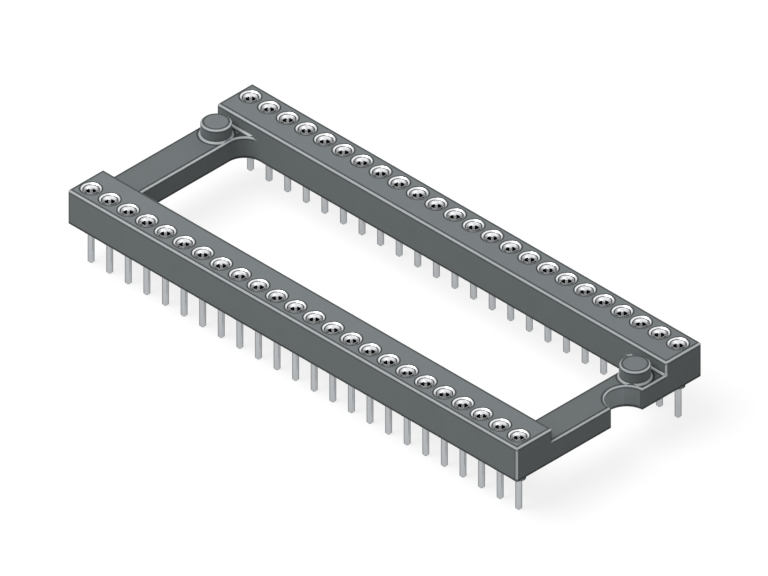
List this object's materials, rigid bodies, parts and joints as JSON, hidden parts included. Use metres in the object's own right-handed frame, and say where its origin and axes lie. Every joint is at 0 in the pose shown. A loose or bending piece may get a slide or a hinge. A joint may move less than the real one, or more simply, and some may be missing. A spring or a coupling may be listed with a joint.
{
  "type": "dual in-line socket",
  "caption": "Long open-frame dual in-line socket: a low rectangular moulded frame with two raised rows of round turned contacts, a half-round end notch and two round posts.",
  "frame": {"origin": "centre of the contact pattern, on the board surface where the sleeves' shoulders stand", "axes": "+X along the rows to the notched end, +Y across them to the row of contacts 1 to 24, +Z out of the contact mouths"},
  "size_m": [0.043, 0.0176, 0.0061],
  "materials": {
    "insulator": "satin moulded, glass-filled",
    "sleeve_plating": "turned, tin plated",
    "clip_plating": "stamped, tin plated"
  },
  "bodies": {
    "root": {"insulator_body": "insulator", "contact_sleeve_01": "sleeve_plating", "contact_sleeve_02": "sleeve_plating", "contact_sleeve_03": "sleeve_plating", "contact_sleeve_04": "sleeve_plating", "contact_sleeve_05": "sleeve_plating", "contact_sleeve_06": "sleeve_plating", "contact_sleeve_07": "sleeve_plating", "contact_sleeve_08": "sleeve_plating", "contact_sleeve_09": "sleeve_plating", "contact_sleeve_10": "sleeve_plating", "contact_sleeve_11": "sleeve_plating", "contact_sleeve_12": "sleeve_plating", "contact_sleeve_13": "sleeve_plating", "contact_sleeve_14": "sleeve_plating", "contact_sleeve_15": "sleeve_plating", "contact_sleeve_16": "sleeve_plating", "contact_sleeve_17": "sleeve_plating", "contact_sleeve_18": "sleeve_plating", "contact_sleeve_19": "sleeve_plating", "contact_sleeve_20": "sleeve_plating", "contact_sleeve_21": "sleeve_plating", "contact_sleeve_22": "sleeve_plating", "contact_sleeve_23": "sleeve_plating", "contact_sleeve_24": "sleeve_plating", "contact_sleeve_25": "sleeve_plating", "contact_sleeve_26": "sleeve_plating", "contact_sleeve_27": "sleeve_plating", "contact_sleeve_28": "sleeve_plating", "contact_sleeve_29": "sleeve_plating", "contact_sleeve_30": "sleeve_plating", "contact_sleeve_31": "sleeve_plating", "contact_sleeve_32": "sleeve_plating", "contact_sleeve_33": "sleeve_plating", "contact_sleeve_34": "sleeve_plating", "contact_sleeve_35": "sleeve_plating", "contact_sleeve_36": "sleeve_plating", "contact_sleeve_37": "sleeve_plating", "contact_sleeve_38": "sleeve_plating", "contact_sleeve_39": "sleeve_plating", "contact_sleeve_40": "sleeve_plating", "contact_sleeve_41": "sleeve_plating", "contact_sleeve_42": "sleeve_plating", "contact_sleeve_43": "sleeve_plating", "contact_sleeve_44": "sleeve_plating", "contact_sleeve_45": "sleeve_plating", "contact_sleeve_46": "sleeve_plating", "contact_sleeve_47": "sleeve_plating", "contact_sleeve_48": "sleeve_plating", "contact_clips_back_row": "clip_plating", "contact_clips_front_row": "clip_plating"}
  },
  "joints": []
}
